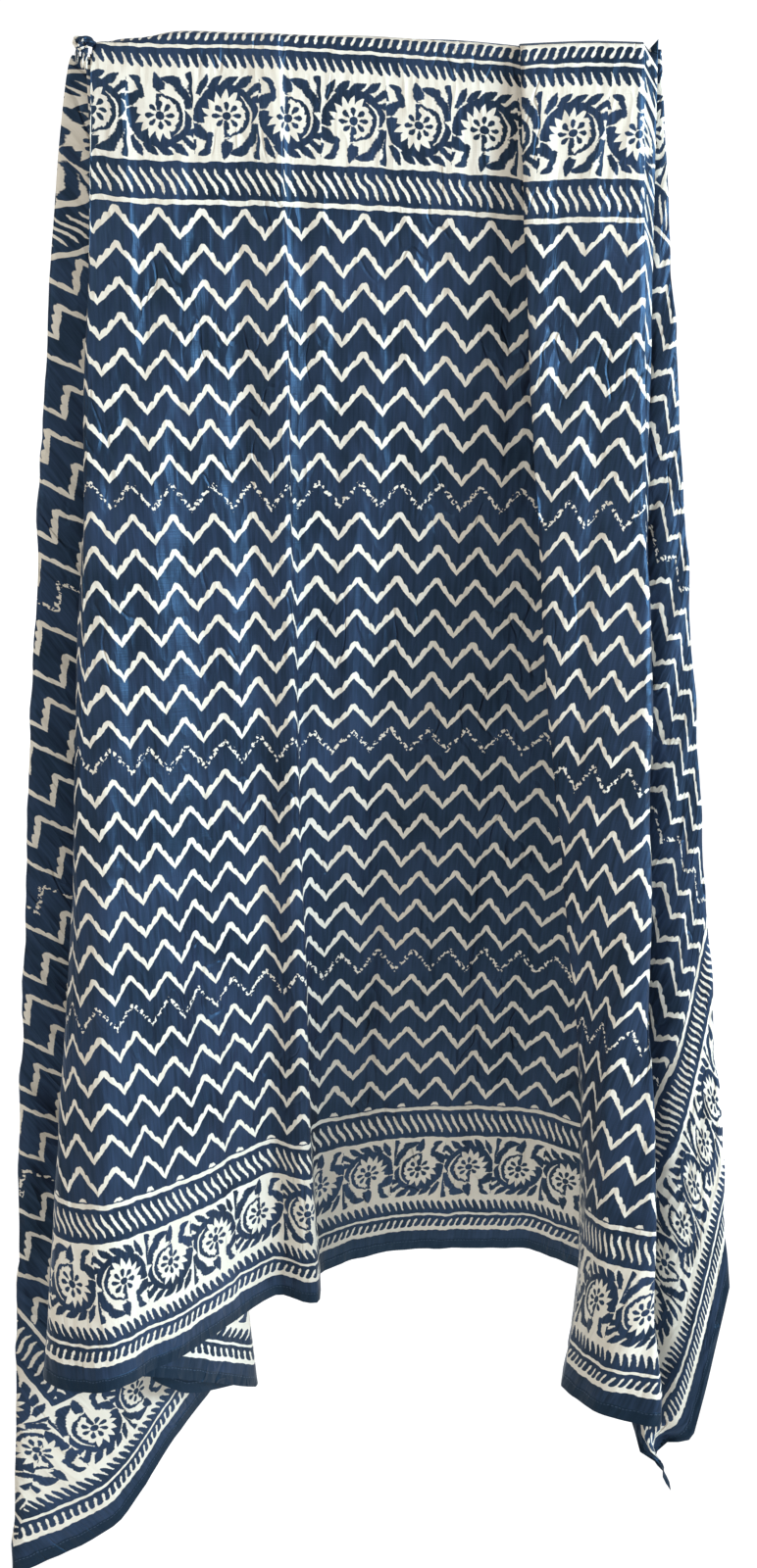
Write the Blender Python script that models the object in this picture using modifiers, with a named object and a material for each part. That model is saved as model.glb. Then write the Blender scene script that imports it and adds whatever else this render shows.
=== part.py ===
import math
import bpy
from collections import namedtuple
from mathutils import Vector

# One rectangular cloth, 1.12 m deep and 1.82 m long when it lies flat, in metres
SHEET_THICKNESS = 0.0014

# How the cloth hangs
LEAN_CURVE = 1.5
ROLL_RADIUS = 0.005
ROLL_FADE = 1.0
BOW_SCALE = 6.75

# How the cloth bends at each fold line, a row each from the left free end to the right free end
# fan marks the lines that spread from a pinched corner, turn is how softly the cloth bends
# wide_top and wide_foot are the widths of a doubled fold, below zero where it opens to the back
Bend = namedtuple("Bend", "name fan wide_top wide_foot turn")
BENDS = (
    Bend("left_top_corner", 1, 0, 0, 0.6),
    Bend("back_fold_3", 1, 0.0036, 0.012, 0.8),
    Bend("back_fold_2", 1, 0.0036, 0.012, 0.8),
    Bend("back_fold_1", 1, 0.0036, 0.012, 0.8),
    Bend("left_low_corner", 1, 0.0036, 0.012, 0.8),
    Bend("left_panel_out", 1, 0, 0, 0.5),
    Bend("left_panel_in", 1, 0, 0, 0.5),
    Bend("hidden_fold_d", 1, 0.0036, 0.010, 0.8),
    Bend("hidden_fold_c", 1, 0.0036, 0.010, 0.8),
    Bend("inner_crease", 1, 0, 0, 0.5),
    Bend("inner_fold_b", 1, 0.0036, 0.010, 0.8),
    Bend("behind_front", 1, 0, 0, 0.5),
    Bend("front_left_fold", 1, 0.0036, 0.012, 0.8),
    Bend("hem_left_end", 0, 0, 0, 0.5),
    Bend("front_swell", 0, 0, 0, 0.5),
    Bend("front_slope", 0, 0, 0, 0.5),
    Bend("front_hollow", 0, 0, 0, 0.5),
    Bend("left_pleat_edge", 0, 0, 0, 0.6),
    Bend("left_pleat_back", 0, 0, 0, 0.6),
    Bend("middle_left", 0, 0, 0, 0.5),
    Bend("middle_right", 0, 0, 0, 0.5),
    Bend("middle_edge", 0, 0, 0, 0.5),
    Bend("right_pleat_back", 0, 0.0036, 0.004, 0.8),
    Bend("right_pleat_edge", 0, 0.0036, 0.004, 0.8),
    Bend("front_right", 0, 0, 0, 0.5),
    Bend("front_right_fold", 0, -0.0012, -0.012, 0.8),
    Bend("hem_right_end", 0, -0.0036, -0.002, 0.5),
    Bend("hidden_fold_p", 1, -0.0036, -0.010, 0.8),
    Bend("right_low_corner", 1, 0, 0, 0.4),
    Bend("right_outer_fold", 1, -0.0036, -0.010, 0.8),
    Bend("back_fold_4", 1, -0.0036, -0.012, 0.8),
    Bend("back_fold_5", 1, -0.0036, -0.010, 0.8),
    Bend("back_fold_6", 1, -0.0036, -0.010, 0.8),
    Bend("right_top_corner", 1, 0, 0, 0.6),
)

# The same fold lines as they hang, with the places of their top and foot
# bow moves a line's lower middle sideways, and roll is how much hem is turned over the back
Hang = namedtuple("Hang", "name x_top y_top z_top x_foot y_foot z_foot bow roll")
HANGS = (
    Hang("left_top_corner", -0.226, 0.0288, -0.010, -0.288, 0.106, -0.815, 0, 0),
    Hang("back_fold_3", -0.210, 0.0252, -0.010, -0.140, 0.162, -0.850, 0, 0),
    Hang("back_fold_2", -0.226, 0.0216, -0.010, -0.306, 0.048, -0.925, 0, 0),
    Hang("back_fold_1", -0.210, 0.0180, -0.010, -0.112, 0.138, -1.060, 0, 0),
    Hang("left_low_corner", -0.228, 0.0144, -0.009, -0.3505, -0.020, -1.376, 0, 0),
    Hang("left_panel_out", -0.221, 0.0126, -0.010, -0.2565, 0.000, -1.344, 0, 0),
    Hang("left_panel_in", -0.214, 0.0126, -0.011, -0.1975, 0.035, -1.270, 0, 0),
    Hang("hidden_fold_d", -0.209, 0.0108, -0.012, -0.150, 0.088, -1.235, 0, 0),
    Hang("hidden_fold_c", -0.2165, 0.0072, -0.012, -0.207, -0.010, -1.165, 0, 0),
    Hang("inner_crease", -0.213, 0.0054, -0.012, -0.178, -0.005, -1.188, 0, 0),
    Hang("inner_fold_b", -0.2055, 0.0036, -0.012, -0.1155, 0.050, -1.218, 0, 0),
    Hang("behind_front", -0.209, 0.0018, -0.011, -0.200, -0.045, -1.140, 0, 0),
    Hang("front_left_fold", -0.2125, 0.000, -0.010, -0.2955, -0.075, -1.117, 0.003, 0),
    Hang("hem_left_end", -0.208, -0.0018, 0.000, -0.268, -0.094, -1.118, 0, 0),
    Hang("front_swell", -0.190, -0.001, 0.003, -0.234, -0.100, -1.115, 0, 0.008),
    Hang("front_slope", -0.150, 0.000, 0.009, -0.169, -0.036, -1.119, 0, 0.022),
    Hang("front_hollow", -0.105, 0.002, 0.009, -0.095, 0.051, -1.118, 0, 0.022),
    Hang("left_pleat_edge", -0.0707, 0.000, 0.008, -0.054, 0.040, -1.119, -0.004, 0.022),
    Hang("left_pleat_back", -0.0675, 0.003, 0.008, -0.052, 0.085, -1.116, -0.004, 0.022),
    Hang("middle_left", -0.010, 0.005, 0.007, 0.020, 0.121, -1.113, 0, 0.020),
    Hang("middle_right", 0.060, 0.0055, 0.004, 0.110, 0.125, -1.112, 0, 0.018),
    Hang("middle_edge", 0.100, 0.0055, 0.001, 0.165, 0.120, -1.112, 0, 0.006),
    Hang("right_pleat_back", 0.124, 0.0036, 0.000, 0.2075, 0.085, -1.114, 0.006, 0),
    Hang("right_pleat_edge", 0.112, 0.000, 0.000, 0.171, -0.070, -1.130, 0.034, 0),
    Hang("front_right", 0.164, -0.002, 0.002, 0.203, -0.115, -1.128, 0.018, 0),
    Hang("front_right_fold", 0.205, -0.002, 0.001, 0.251, -0.118, -1.131, 0, 0),
    Hang("hem_right_end", 0.2165, 0.0018, 0.000, 0.238, -0.075, -1.150, 0, 0),
    Hang("hidden_fold_p", 0.209, 0.0054, -0.008, 0.2135, -0.020, -1.180, -0.004, 0),
    Hang("right_low_corner", 0.216, 0.0072, -0.006, 0.275, -0.075, -1.240, 0.004, 0),
    Hang("right_outer_fold", 0.220, 0.0090, -0.006, 0.326, -0.045, -1.000, 0, 0),
    Hang("back_fold_4", 0.211, 0.0126, -0.008, 0.152, 0.100, -0.700, 0, 0),
    Hang("back_fold_5", 0.220, 0.0162, -0.008, 0.278, 0.057, -0.595, 0, 0),
    Hang("back_fold_6", 0.211, 0.0198, -0.008, 0.168, 0.120, -0.525, 0, 0),
    Hang("right_top_corner", 0.220, 0.0234, -0.008, 0.259, 0.100, -0.515, 0, 0),
)

# Rows down the cloth and columns across each span between two fold lines
CURVE_STEPS = 24
TOP_ROWS = (0.0, 0.009, 0.0155, 0.0185, 0.022, 0.030)
LOWER_ROWS = 14
FAN_STEPS = (0.0, 0.5)
PANEL_STEPS = (0.0, 0.33, 0.67)

# Knot at the top left corner
KNOT_CENTRE = Vector((-0.217, 0.0135, -0.006))
KNOT_HALF = Vector((0.0122, 0.0196, 0.0090))
KNOT_TURNS = 3
KNOT_GROOVE = 0.12
KNOT_SEGMENTS = 20
KNOT_RINGS = 10

# Finish
CLOTH_COLOUR = (0.020, 0.045, 0.130, 1.0)
CLOTH_ROUGHNESS = 0.85


def row_fractions():
    rows = list(TOP_ROWS)
    first = rows[-1]
    for i in range(1, LOWER_ROWS + 1):
        rows.append(first + (1.0 - first) * i / LOWER_ROWS)
    return rows


def hang_point(hang, v):
    """Hanging place at fraction v down a fold line."""
    bow = hang.bow * BOW_SCALE * v * v * (1.0 - v)
    x = hang.x_top + (hang.x_foot - hang.x_top) * v + bow
    y = hang.y_top + (hang.y_foot - hang.y_top) * v ** LEAN_CURVE
    drop = v * (hang.z_top - hang.z_foot)
    if not hang.roll:
        return Vector((x, y, hang.z_top - drop))
    beyond = drop - hang.roll
    behind = min(1.0, max(0.0, 0.5 - beyond / (2.0 * ROLL_RADIUS)))
    rolled = hang.z_top - abs(beyond) - 2.0 * ROLL_RADIUS * behind * (1.0 - behind)
    straight = hang.z_top - drop
    share = max(0.0, 1.0 - max(0.0, beyond) / ROLL_FADE)
    return Vector((x, y + 2.0 * ROLL_RADIUS * behind, rolled * share + straight * (1.0 - share)))


def fold_tangent(before, here, after, turn):
    """Direction of the cloth as it passes round a fold line."""
    one = here - before
    two = after - here
    return (one.normalized() + two.normalized()) * (min(one.length, two.length) * turn)


def span_points(start, lead, end, trail, steps):
    """Even places along the smooth curve that joins two fold lines."""
    curve = []
    for i in range(CURVE_STEPS + 1):
        w = i / CURVE_STEPS
        a = 2.0 * w ** 3 - 3.0 * w ** 2 + 1.0
        b = w ** 3 - 2.0 * w ** 2 + w
        c = -2.0 * w ** 3 + 3.0 * w ** 2
        d = w ** 3 - w ** 2
        curve.append(start * a + lead * b + end * c + trail * d)
    lengths = [0.0]
    for i in range(CURVE_STEPS):
        lengths.append(lengths[-1] + (curve[i + 1] - curve[i]).length)
    places = []
    for step in steps:
        want = step * lengths[-1]
        i = 0
        while i < CURVE_STEPS - 1 and lengths[i + 1] < want:
            i += 1
        part = (want - lengths[i]) / (lengths[i + 1] - lengths[i])
        places.append(curve[i].lerp(curve[i + 1], part))
    return places


def doubled(bend):
    return bend.wide_top != 0


def control_line(v):
    """Places across the cloth at fraction v, two for each doubled fold."""
    places = []
    for bend, hang in zip(BENDS, HANGS):
        here = hang_point(hang, v)
        if doubled(bend):
            half = Vector((0.0, (bend.wide_top + (bend.wide_foot - bend.wide_top) * v) / 2.0, 0.0))
            places += [(here + half, bend.turn), (here - half, bend.turn)]
        else:
            places.append((here, bend.turn))
    return places


def control_steps():
    """Columns for each span of the control line."""
    steps = []
    for k, bend in enumerate(BENDS):
        if doubled(bend):
            steps.append(FAN_STEPS)
        if k < len(BENDS) - 1:
            steps.append(FAN_STEPS if bend.fan or BENDS[k + 1].fan else PANEL_STEPS)
    return steps


def sheet_rows():
    """Grid of hanging places, a list for each row down the cloth."""
    grid = []
    steps = control_steps()
    for v in row_fractions():
        line = control_line(v)
        last = len(line) - 1
        points = [place for place, turn in line]
        ahead = [points[0] * 2.0 - points[1]] + points + [points[last] * 2.0 - points[last - 1]]
        bends = [fold_tangent(ahead[k], ahead[k + 1], ahead[k + 2], line[k][1])
                 for k in range(last + 1)]
        row = []
        for k in range(last):
            row += span_points(points[k], bends[k], points[k + 1], bends[k + 1], steps[k])
        row.append(points[last])
        grid.append(row)
    return grid


def mesh_object(name, verts, faces, collection):
    mesh = bpy.data.meshes.new(name)
    mesh.from_pydata([tuple(v) for v in verts], [], faces)
    mesh.update()
    obj = bpy.data.objects.new(name, mesh)
    collection.objects.link(obj)
    return obj


def build_sheet(collection):
    grid = sheet_rows()
    columns = len(grid[0])
    verts = [point for row in grid for point in row]
    faces = []
    for r in range(len(grid) - 1):
        for c in range(columns - 1):
            a = r * columns + c
            faces.append((a, a + columns, a + columns + 1, a + 1))
    sheet = mesh_object("sarong_cloth", verts, faces, collection)
    solid = sheet.modifiers.new("thickness", "SOLIDIFY")
    solid.thickness = SHEET_THICKNESS
    solid.offset = 0.0
    return sheet


def build_knot(collection):
    """Rounded knot with slanted grooves where its cloth is wrapped."""
    verts = []
    for ring in range(KNOT_RINGS + 1):
        rise = math.pi * ring / KNOT_RINGS
        for step in range(KNOT_SEGMENTS):
            around = 2.0 * math.pi * step / KNOT_SEGMENTS
            wave = 0.5 + 0.5 * math.sin(KNOT_TURNS * around + 2.0 * rise)
            groove = 1.0 - KNOT_GROOVE * math.sin(rise) * wave
            side = math.sin(rise)
            away = Vector((side * math.cos(around), side * math.sin(around), math.cos(rise)))
            verts.append(KNOT_CENTRE + KNOT_HALF * away * groove)
            if ring in (0, KNOT_RINGS):
                break
    faces = []
    for step in range(KNOT_SEGMENTS):
        after = (step + 1) % KNOT_SEGMENTS
        faces.append((0, 1 + step, 1 + after))
        for ring in range(KNOT_RINGS - 2):
            base = 1 + ring * KNOT_SEGMENTS
            below = base + KNOT_SEGMENTS
            faces.append((base + step, below + step, below + after, base + after))
        base = 1 + (KNOT_RINGS - 2) * KNOT_SEGMENTS
        faces.append((base + step, len(verts) - 1, base + after))
    knot = mesh_object("knot_form", verts, faces, collection)
    knot.hide_render = True
    knot.display_type = "WIRE"
    return knot


def cloth_material():
    material = bpy.data.materials.new("printed_cotton")
    material.use_nodes = True
    shader = material.node_tree.nodes["Principled BSDF"]
    shader.inputs["Base Color"].default_value = CLOTH_COLOUR
    shader.inputs["Roughness"].default_value = CLOTH_ROUGHNESS
    return material


def main():
    for obj in list(bpy.data.objects):
        bpy.data.objects.remove(obj, do_unlink=True)
    parts = bpy.data.collections.new("sarong")
    cutters = bpy.data.collections.new("cutters")
    for collection in (parts, cutters):
        bpy.context.scene.collection.children.link(collection)
    sheet = build_sheet(parts)
    join = sheet.modifiers.new("knot", "BOOLEAN")
    join.operation = "UNION"
    join.solver = "EXACT"
    join.object = build_knot(cutters)
    sheet.data.materials.append(cloth_material())


main()
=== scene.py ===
"""Looks of a block-printed cotton sarong that hangs from its pinched top corners.

The cloth is one rectangle. A table of fold lines says where each line lies on the flat cloth and where it
hangs, a finer table of creases is pressed into it, and the print is drawn in the cloth's own flat sizes.
"""

import logging
import math
from collections.abc import Sequence
from dataclasses import dataclass
from enum import Enum

import bpy
import numpy as np
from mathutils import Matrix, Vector, noise


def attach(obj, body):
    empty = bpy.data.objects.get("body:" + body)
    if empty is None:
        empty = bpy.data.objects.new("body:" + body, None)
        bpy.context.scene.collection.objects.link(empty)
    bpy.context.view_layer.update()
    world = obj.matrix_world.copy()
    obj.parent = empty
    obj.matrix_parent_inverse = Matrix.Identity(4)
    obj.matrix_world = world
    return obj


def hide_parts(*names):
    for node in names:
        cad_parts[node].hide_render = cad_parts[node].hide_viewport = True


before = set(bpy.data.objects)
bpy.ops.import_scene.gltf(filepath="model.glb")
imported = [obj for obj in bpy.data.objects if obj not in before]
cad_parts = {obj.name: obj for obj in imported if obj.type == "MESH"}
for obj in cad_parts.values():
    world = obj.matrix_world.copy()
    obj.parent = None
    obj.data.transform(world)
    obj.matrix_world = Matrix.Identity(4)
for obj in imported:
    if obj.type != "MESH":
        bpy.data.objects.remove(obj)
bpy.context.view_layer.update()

log = logging.getLogger("sarong")

MM = 0.001
MM_PER_METRE = 1000.0
CLOTH_LENGTH = 1.824
CLOTH_WIDTH = 1.12
LEFT_PINCH = 0.84
RIGHT_PINCH = 1.297
FLAT_MAP = "flat_cloth"
WHITE = (1.0, 1.0, 1.0, 1.0)
BLACK = (0.0, 0.0, 0.0, 1.0)


class Cell(Enum):
    """How finely a stretch of cloth is divided, as the width of one column at the lower hem."""

    FRONT = 0.0062
    SIDE = 0.0100
    HIDDEN = 0.0240


@dataclass(frozen=True)
class Fold:
    """One fold line, on the flat cloth and as it hangs.

    s and t are the flat sizes along and down the cloth. A fan line starts at a pinched corner. wide is
    the width of a doubled fold at its top and foot, below zero where it opens to the back. roll is how
    much hem is turned over. bow, low_bow and swell push the line sideways, most at two thirds down, near
    the foot and near the top. knotted is how much of a fan line the knot takes up, turn is how softly the
    cloth bends, and cell is for the stretch to its right.
    """

    name: str
    top_s: float
    fan: bool
    foot_s: float
    foot_t: float
    top: tuple[float, float, float]
    foot: tuple[float, float, float]
    bow: float = 0.0
    low_bow: float = 0.0
    swell: float = 0.0
    knotted: float = 0.036
    wide: tuple[float, float] = (0.0, 0.0)
    roll: float = 0.0
    turn: float = 0.5
    cell: Cell = Cell.FRONT

    @property
    def doubled(self) -> bool:
        """True where the line is a fold of two layers rather than a bend."""
        return self.wide[0] != 0.0


def fan(name: str, s: float, t: float, top: tuple, foot: tuple, **more: object) -> Fold:
    """A fold line that spreads from the left or right pinched corner.

    Args:
        name: the line's name.
        s: flat place of its foot along the cloth.
        t: flat place of its foot down the cloth.
        top: hanging place of its top.
        foot: hanging place of its foot.
        **more: other fields of Fold.

    Returns:
        The fold line.
    """
    pinch = LEFT_PINCH if s < CLOTH_LENGTH / 2.0 else RIGHT_PINCH
    return Fold(name, pinch, True, s, t, top, foot, **more)


def drop(name: str, top_s: float, s: float, top: tuple, foot: tuple, **more: object) -> Fold:
    """A fold line that runs down the front panel, from the hung edge to the lower hem.

    Args:
        name: the line's name.
        top_s: flat place of its top along the cloth.
        s: flat place of its foot along the cloth.
        top: hanging place of its top.
        foot: hanging place of its foot.
        **more: other fields of Fold.

    Returns:
        The fold line.
    """
    return Fold(name, top_s, False, s, CLOTH_WIDTH, top, foot, **more)


BACK_LEFT = (0.0036, 0.012)
INNER = (0.0036, 0.010)
PLEAT = (0.0036, 0.004)
BACK_RIGHT = (-0.0036, -0.010)

FOLDS: tuple[Fold, ...] = (
    fan("left_top_corner", 0, 0, (-0.226, 0.0288, -0.010), (-0.288, 0.106, -0.815), turn=0.6,
        cell=Cell.HIDDEN),
    fan("back_fold_3", 0, 0.178, (-0.210, 0.0252, -0.010), (-0.140, 0.162, -0.850), wide=BACK_LEFT, turn=0.8,
        cell=Cell.HIDDEN),
    fan("back_fold_2", 0, 0.408, (-0.226, 0.0216, -0.010), (-0.306, 0.048, -0.925), wide=BACK_LEFT, turn=0.8,
        cell=Cell.HIDDEN),
    fan("back_fold_1", 0, 0.677, (-0.210, 0.0180, -0.010), (-0.112, 0.138, -1.060), wide=BACK_LEFT, turn=0.8,
        cell=Cell.HIDDEN),
    fan("left_low_corner", 0, CLOTH_WIDTH, (-0.228, 0.0144, -0.009), (-0.3505, -0.020, -1.376), swell=-0.014,
        wide=BACK_LEFT, turn=0.8, cell=Cell.SIDE),
    fan("left_panel_out", 0.094, CLOTH_WIDTH, (-0.221, 0.0126, -0.010), (-0.2565, 0.000, -1.344),
        swell=-0.006, cell=Cell.SIDE),
    fan("left_panel_in", 0.190, CLOTH_WIDTH, (-0.214, 0.0126, -0.011), (-0.1975, 0.035, -1.270),
        cell=Cell.SIDE),
    fan("hidden_fold_d", 0.270, CLOTH_WIDTH, (-0.209, 0.0108, -0.012), (-0.150, 0.088, -1.235), wide=INNER,
        turn=0.8, cell=Cell.SIDE),
    fan("hidden_fold_c", 0.370, CLOTH_WIDTH, (-0.2165, 0.0072, -0.012), (-0.207, -0.010, -1.165), wide=INNER,
        turn=0.8, cell=Cell.SIDE),
    fan("inner_crease", 0.405, CLOTH_WIDTH, (-0.213, 0.0054, -0.012), (-0.178, -0.005, -1.188),
        cell=Cell.SIDE),
    fan("inner_fold_b", 0.475, CLOTH_WIDTH, (-0.2055, 0.0036, -0.012), (-0.1155, 0.050, -1.218), wide=INNER,
        turn=0.8, cell=Cell.SIDE),
    fan("behind_front", 0.585, CLOTH_WIDTH, (-0.209, 0.0018, -0.011), (-0.200, -0.045, -1.140), knotted=0.050,
        cell=Cell.SIDE),
    fan("front_left_fold", 0.690, CLOTH_WIDTH, (-0.2125, 0.0, -0.010), (-0.2955, -0.075, -1.117), bow=0.003,
        swell=0.006, knotted=0.058, wide=BACK_LEFT, turn=0.8),
    drop("hem_left_end", 0.842, 0.722, (-0.208, -0.0018, 0.0), (-0.268, -0.094, -1.118), roll=0.034),
    drop("front_swell", 0.860, 0.760, (-0.190, -0.001, 0.003), (-0.234, -0.100, -1.115), roll=0.029),
    drop("front_slope", 0.900, 0.850, (-0.150, 0.0, 0.009), (-0.169, -0.036, -1.119), roll=0.022),
    drop("front_hollow", 0.945, 0.950, (-0.105, 0.002, 0.009), (-0.095, 0.051, -1.118), roll=0.022),
    drop("left_pleat_edge", 0.980, 0.990, (-0.0707, 0.0, 0.008), (-0.054, 0.040, -1.119), bow=-0.004,
         roll=0.022, turn=0.6),
    drop("left_pleat_back", 0.985, 1.035, (-0.0675, 0.003, 0.008), (-0.052, 0.085, -1.116), bow=-0.004,
         roll=0.022, turn=0.6),
    drop("middle_left", 1.0425, 1.115, (-0.010, 0.005, 0.007), (0.020, 0.121, -1.113), roll=0.020),
    drop("middle_right", 1.1125, 1.205, (0.060, 0.0055, 0.004), (0.110, 0.125, -1.112), roll=0.018),
    drop("middle_edge", 1.1525, 1.262, (0.100, 0.0055, 0.001), (0.165, 0.120, -1.112), roll=0.018),
    drop("right_pleat_back", 1.177, 1.320, (0.124, 0.0036, 0.0), (0.2075, 0.085, -1.114), bow=0.006,
         wide=PLEAT, roll=0.014, turn=0.8),
    drop("right_pleat_edge", 1.192, 1.475, (0.112, 0.0, 0.0), (0.171, -0.070, -1.130), low_bow=0.0265,
         wide=PLEAT, roll=0.016, turn=0.8),
    drop("front_right", 1.244, 1.535, (0.164, -0.002, 0.002), (0.203, -0.115, -1.128), bow=0.010, roll=0.016),
    drop("front_right_fold", 1.285, 1.585, (0.205, -0.002, 0.001), (0.251, -0.118, -1.131),
         wide=(-0.0012, -0.012), roll=0.016, turn=0.8),
    drop("hem_right_end", RIGHT_PINCH, 1.630, (0.2165, 0.0018, 0.0), (0.238, -0.075, -1.150),
         wide=(-0.0036, -0.002), cell=Cell.SIDE),
    fan("hidden_fold_p", 1.700, CLOTH_WIDTH, (0.209, 0.0054, -0.008), (0.2180, -0.025, -1.138), bow=-0.004,
        wide=BACK_RIGHT, turn=0.8, cell=Cell.SIDE),
    fan("right_low_corner", CLOTH_LENGTH, CLOTH_WIDTH, (0.216, 0.0072, -0.006), (0.275, -0.075, -1.240),
        bow=0.004, turn=0.4, cell=Cell.SIDE),
    fan("right_outer_fold", CLOTH_LENGTH, 0.8595, (0.220, 0.0090, -0.006), (0.322, -0.045, -1.042),
        wide=BACK_RIGHT, turn=0.8, cell=Cell.HIDDEN),
    fan("back_fold_4", CLOTH_LENGTH, 0.4916, (0.211, 0.0126, -0.008), (0.152, 0.100, -0.700),
        wide=(-0.0036, -0.012), turn=0.8, cell=Cell.HIDDEN),
    fan("back_fold_5", CLOTH_LENGTH, 0.3022, (0.220, 0.0162, -0.008), (0.278, 0.057, -0.595), wide=BACK_RIGHT,
        turn=0.8, cell=Cell.HIDDEN),
    fan("back_fold_6", CLOTH_LENGTH, 0.1405, (0.211, 0.0198, -0.008), (0.168, 0.120, -0.525), wide=BACK_RIGHT,
        turn=0.8, cell=Cell.HIDDEN),
    fan("right_top_corner", CLOTH_LENGTH, 0, (0.220, 0.0234, -0.008), (0.259, 0.100, -0.515), turn=0.6,
        cell=Cell.HIDDEN),
)


@dataclass(frozen=True)
class Crease:
    """One pressed crease on the flat cloth, in metres: its two ends, how deep and how wide it is.

    A depth below zero makes a ridge.
    """

    start: tuple[float, float]
    end: tuple[float, float]
    depth: float
    width: float


CREASES: tuple[Crease, ...] = (
    Crease((0.920, 0.161), (0.897, 0.231), 0.0016, 0.0040),
    Crease((0.889, 0.184), (0.881, 0.214), 0.0012, 0.0034),
    Crease((0.882, 0.211), (0.864, 0.305), 0.0018, 0.0042),
    Crease((0.914, 0.243), (0.911, 0.305), 0.0016, 0.0038),
    Crease((0.861, 0.311), (0.843, 0.353), 0.0018, 0.0042),
    Crease((0.876, 0.315), (0.847, 0.374), 0.0018, 0.0040),
    Crease((0.843, 0.378), (0.824, 0.423), 0.0016, 0.0040),
    Crease((0.890, 0.347), (0.888, 0.368), 0.0012, 0.0034),
    Crease((0.864, 0.060), (0.872, 0.118), 0.0012, 0.0040),
    Crease((0.858, 0.050), (0.862, 0.300), -0.0022, 0.0080),
    Crease((1.001, 0.140), (1.004, 0.366), 0.0020, 0.0046),
    Crease((1.012, 0.120), (1.013, 0.280), -0.0014, 0.0044),
    Crease((1.019, 0.182), (1.028, 0.399), 0.0022, 0.0050),
    Crease((1.036, 0.210), (1.043, 0.330), 0.0014, 0.0040),
    Crease((1.031, 0.420), (1.060, 0.760), -0.0026, 0.0085),
    Crease((1.098, 0.120), (1.116, 0.548), 0.0020, 0.0075),
    Crease((1.143, 0.175), (1.159, 0.457), -0.0020, 0.0070),
    Crease((1.124, 0.060), (1.130, 0.200), 0.0014, 0.0050),
    Crease((0.936, 0.382), (0.920, 0.709), -0.0026, 0.0090),
    Crease((0.945, 0.100), (0.941, 0.360), 0.0018, 0.0070),
    Crease((0.905, 0.480), (0.882, 0.900), 0.0026, 0.0095),
    Crease((0.825, 0.530), (0.809, 0.855), 0.0026, 0.0090),
    Crease((0.840, 0.430), (0.770, 0.980), -0.0028, 0.0110),
    Crease((0.860, 0.760), (0.852, 1.110), -0.0024, 0.0090),
    Crease((0.905, 0.850), (0.915, 1.110), 0.0022, 0.0090),
    Crease((1.080, 0.640), (1.092, 0.990), 0.0020, 0.0090),
    Crease((1.165, 0.620), (1.190, 1.110), 0.0024, 0.0095),
    Crease((1.268, 0.215), (1.322, 0.620), 0.0022, 0.0080),
    Crease((1.225, 0.060), (1.240, 0.240), 0.0018, 0.0055),
    Crease((1.252, 0.070), (1.262, 0.200), -0.0016, 0.0055),
    Crease((1.350, 0.420), (1.450, 0.960), -0.0026, 0.0100),
    Crease((1.420, 0.600), (1.510, 1.100), 0.0026, 0.0100),
    Crease((1.500, 0.760), (1.548, 1.105), 0.0026, 0.0090),
    Crease((0.700, 0.280), (0.560, 0.700), 0.0022, 0.0100),
    Crease((0.080, 1.020), (0.330, 0.720), 0.0026, 0.0110),
    Crease((0.160, 1.060), (0.370, 0.790), -0.0024, 0.0100),
    Crease((0.905, 0.262), (0.893, 0.330), 0.0012, 0.0070),
    Crease((0.868, 0.228), (0.858, 0.300), 0.0012, 0.0070),
    Crease((0.899, 0.398), (0.880, 0.470), 0.0012, 0.0070),
    Crease((0.856, 0.470), (0.838, 0.540), 0.0012, 0.0075),
    Crease((1.246, 0.232), (1.251, 0.330), 0.0012, 0.0075),
    Crease((1.290, 0.300), (1.306, 0.410), 0.0012, 0.0075),
    Crease((0.872, 0.900), (0.846, 0.985), 0.0014, 0.0080),
    Crease((0.832, 0.880), (0.806, 1.010), 0.0014, 0.0080),
    Crease((0.786, 0.940), (0.770, 1.060), 0.0014, 0.0080),
)


def cloth_piece(name: str, places: np.ndarray, faces: np.ndarray, flats: np.ndarray) -> bpy.types.Object:
    """Makes a smooth piece of cloth, with its flat places as its map.

    Args:
        name: the piece's name.
        places: the hanging place of each corner.
        faces: the corners of each face.
        flats: the flat place of each corner.

    Returns:
        The piece.
    """
    mesh = bpy.data.meshes.new(name)
    mesh.from_pydata(places.tolist(), [], faces.tolist())
    mesh.update()
    layer = mesh.uv_layers.new(name=FLAT_MAP)
    layer.data.foreach_set("uv", flats[faces.reshape(-1)].ravel())
    mesh.polygons.foreach_set("use_smooth", np.ones(len(faces), dtype=bool))
    piece = bpy.data.objects.new(name, mesh)
    bpy.context.scene.collection.objects.link(piece)
    return piece


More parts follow.
